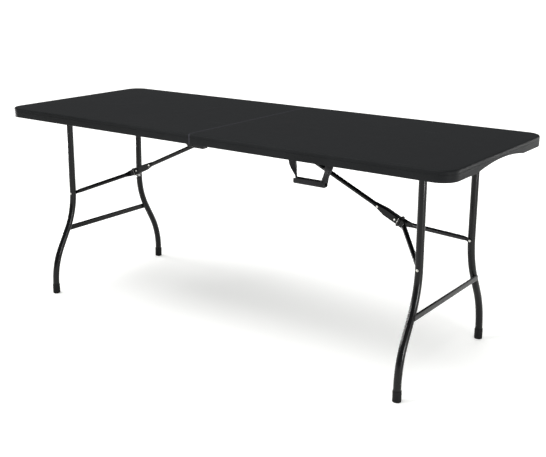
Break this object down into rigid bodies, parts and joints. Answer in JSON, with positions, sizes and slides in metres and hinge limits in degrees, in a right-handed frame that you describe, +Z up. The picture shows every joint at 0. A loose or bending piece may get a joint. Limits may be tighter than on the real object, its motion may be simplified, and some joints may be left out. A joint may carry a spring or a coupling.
{
  "type": "folding table",
  "caption": "Rectangular bi-fold table: moulded half tops on steel rails, folding wishbone leg frames with jointed struts and slip rings, and a carry handle.",
  "frame": {"origin": "on the floor, below the middle of the table top", "axes": "+X along the table to the half with the handle, +Y across to the back, +Z up"},
  "size_m": [1.83, 0.7, 0.74],
  "materials": {
    "moulded_top": "blow-moulded polyethylene with a fine pebbled grain",
    "coated_steel": "glossy powder coat on bent steel tube",
    "zinc_steel": "bright zinc-plated steel",
    "cap_plastic": "moulded polypropylene",
    "handle_plastic": "moulded polypropylene, satin"
  },
  "bodies": {
    "right_half": {"right_top": "moulded_top", "right_front_rail": "coated_steel", "right_rear_rail": "coated_steel", "right_rail_saddles": "cap_plastic", "right_rail_screws": "zinc_steel", "right_rail_plugs": "cap_plastic", "right_strut_carrier": "coated_steel", "right_strut_bracket": "coated_steel", "right_strut_pin": "zinc_steel", "right_leg_bearings": "coated_steel", "right_hinge_leaves": "coated_steel", "hinge_pins": "zinc_steel"},
    "right_leg_frame": {"right_pivot_tube": "coated_steel", "right_tube_plugs": "cap_plastic", "right_front_leg": "coated_steel", "right_rear_leg": "coated_steel", "right_leg_crossbar": "coated_steel", "right_front_foot": "cap_plastic", "right_rear_foot": "cap_plastic", "right_leg_rivets": "zinc_steel"},
    "right_strut": {"right_strut": "coated_steel", "right_knee_channel": "coated_steel", "right_channel_rivet": "zinc_steel", "right_knee_pin": "zinc_steel"},
    "right_brace": {"right_front_arm": "coated_steel", "right_rear_arm": "coated_steel", "right_arm_rivets": "zinc_steel"},
    "right_ring": {"right_lock_ring": "zinc_steel"},
    "left_half": {"left_top": "moulded_top", "left_front_rail": "coated_steel", "left_rear_rail": "coated_steel", "left_rail_saddles": "cap_plastic", "left_rail_screws": "zinc_steel", "left_rail_plugs": "cap_plastic", "left_strut_carrier": "coated_steel", "left_strut_bracket": "coated_steel", "left_strut_pin": "zinc_steel", "left_leg_bearings": "coated_steel", "left_hinge_leaves": "coated_steel"},
    "left_leg_frame": {"left_pivot_tube": "coated_steel", "left_tube_plugs": "cap_plastic", "left_front_leg": "coated_steel", "left_rear_leg": "coated_steel", "left_leg_crossbar": "coated_steel", "left_front_foot": "cap_plastic", "left_rear_foot": "cap_plastic", "left_leg_rivets": "zinc_steel"},
    "left_strut": {"left_strut": "coated_steel", "left_knee_channel": "coated_steel", "left_channel_rivet": "zinc_steel", "left_knee_pin": "zinc_steel"},
    "left_brace": {"left_front_arm": "coated_steel", "left_rear_arm": "coated_steel", "left_arm_rivets": "zinc_steel"},
    "left_ring": {"left_lock_ring": "zinc_steel"},
    "handle": {"carry_handle": "handle_plastic"}
  },
  "joints": [
    {"name": "centre_fold", "type": "hinge", "parent": "right_half", "child": "left_half", "pos_m": [0, 0, 0.7], "axis": [0, -1, 0], "range_deg": [0, 90]},
    {"name": "right_leg_fold", "type": "hinge", "parent": "right_half", "child": "right_leg_frame", "pos_m": [0.7557, 0, 0.7165], "axis": [0, 1, 0], "range_deg": [0, 91.14]},
    {"name": "right_strut_swing", "type": "hinge", "parent": "right_half", "child": "right_strut", "pos_m": [0.036, 0, 0.725], "axis": [0, 1, 0], "range_deg": [-23.43, 0]},
    {"name": "right_knee", "type": "hinge", "parent": "right_strut", "child": "right_brace", "pos_m": [0.57859, 0, 0.47601], "axis": [0, 1, 0], "range_deg": [0, 180.1]},
    {"name": "right_ring_slide", "type": "slide", "parent": "right_strut", "child": "right_ring", "axis": [-0.9089, 0, 0.4171], "range_m": [0, 0.0961]},
    {"name": "left_leg_fold", "type": "hinge", "parent": "left_half", "child": "left_leg_frame", "pos_m": [-0.7557, 0, 0.7165], "axis": [0, -1, 0], "range_deg": [0, 91.14]},
    {"name": "left_strut_swing", "type": "hinge", "parent": "left_half", "child": "left_strut", "pos_m": [-0.036, 0, 0.725], "axis": [0, -1, 0], "range_deg": [-23.43, 0]},
    {"name": "left_knee", "type": "hinge", "parent": "left_strut", "child": "left_brace", "pos_m": [-0.57859, 0, 0.47601], "axis": [0, -1, 0], "range_deg": [0, 180.1]},
    {"name": "left_ring_slide", "type": "slide", "parent": "left_strut", "child": "left_ring", "axis": [0.9089, 0, 0.4171], "range_m": [0, 0.0961]},
    {"name": "handle_swing", "type": "hinge", "parent": "right_half", "child": "handle", "pos_m": [0.4585, -0.329, 0.714], "axis": [-1, 0, 0], "range_deg": [-85, 45]}
  ],
  "couplings": [
    {"joint": "right_strut_swing", "follows": "right_leg_fold", "ratio": -0.25692},
    {"joint": "right_knee", "follows": "right_leg_fold", "ratio": 1.9749},
    {"joint": "right_ring_slide", "follows": "right_leg_fold", "m_per_rad": 0.060349},
    {"joint": "left_strut_swing", "follows": "left_leg_fold", "ratio": -0.25692},
    {"joint": "left_knee", "follows": "left_leg_fold", "ratio": 1.9749},
    {"joint": "left_ring_slide", "follows": "left_leg_fold", "m_per_rad": 0.060349}
  ]
}
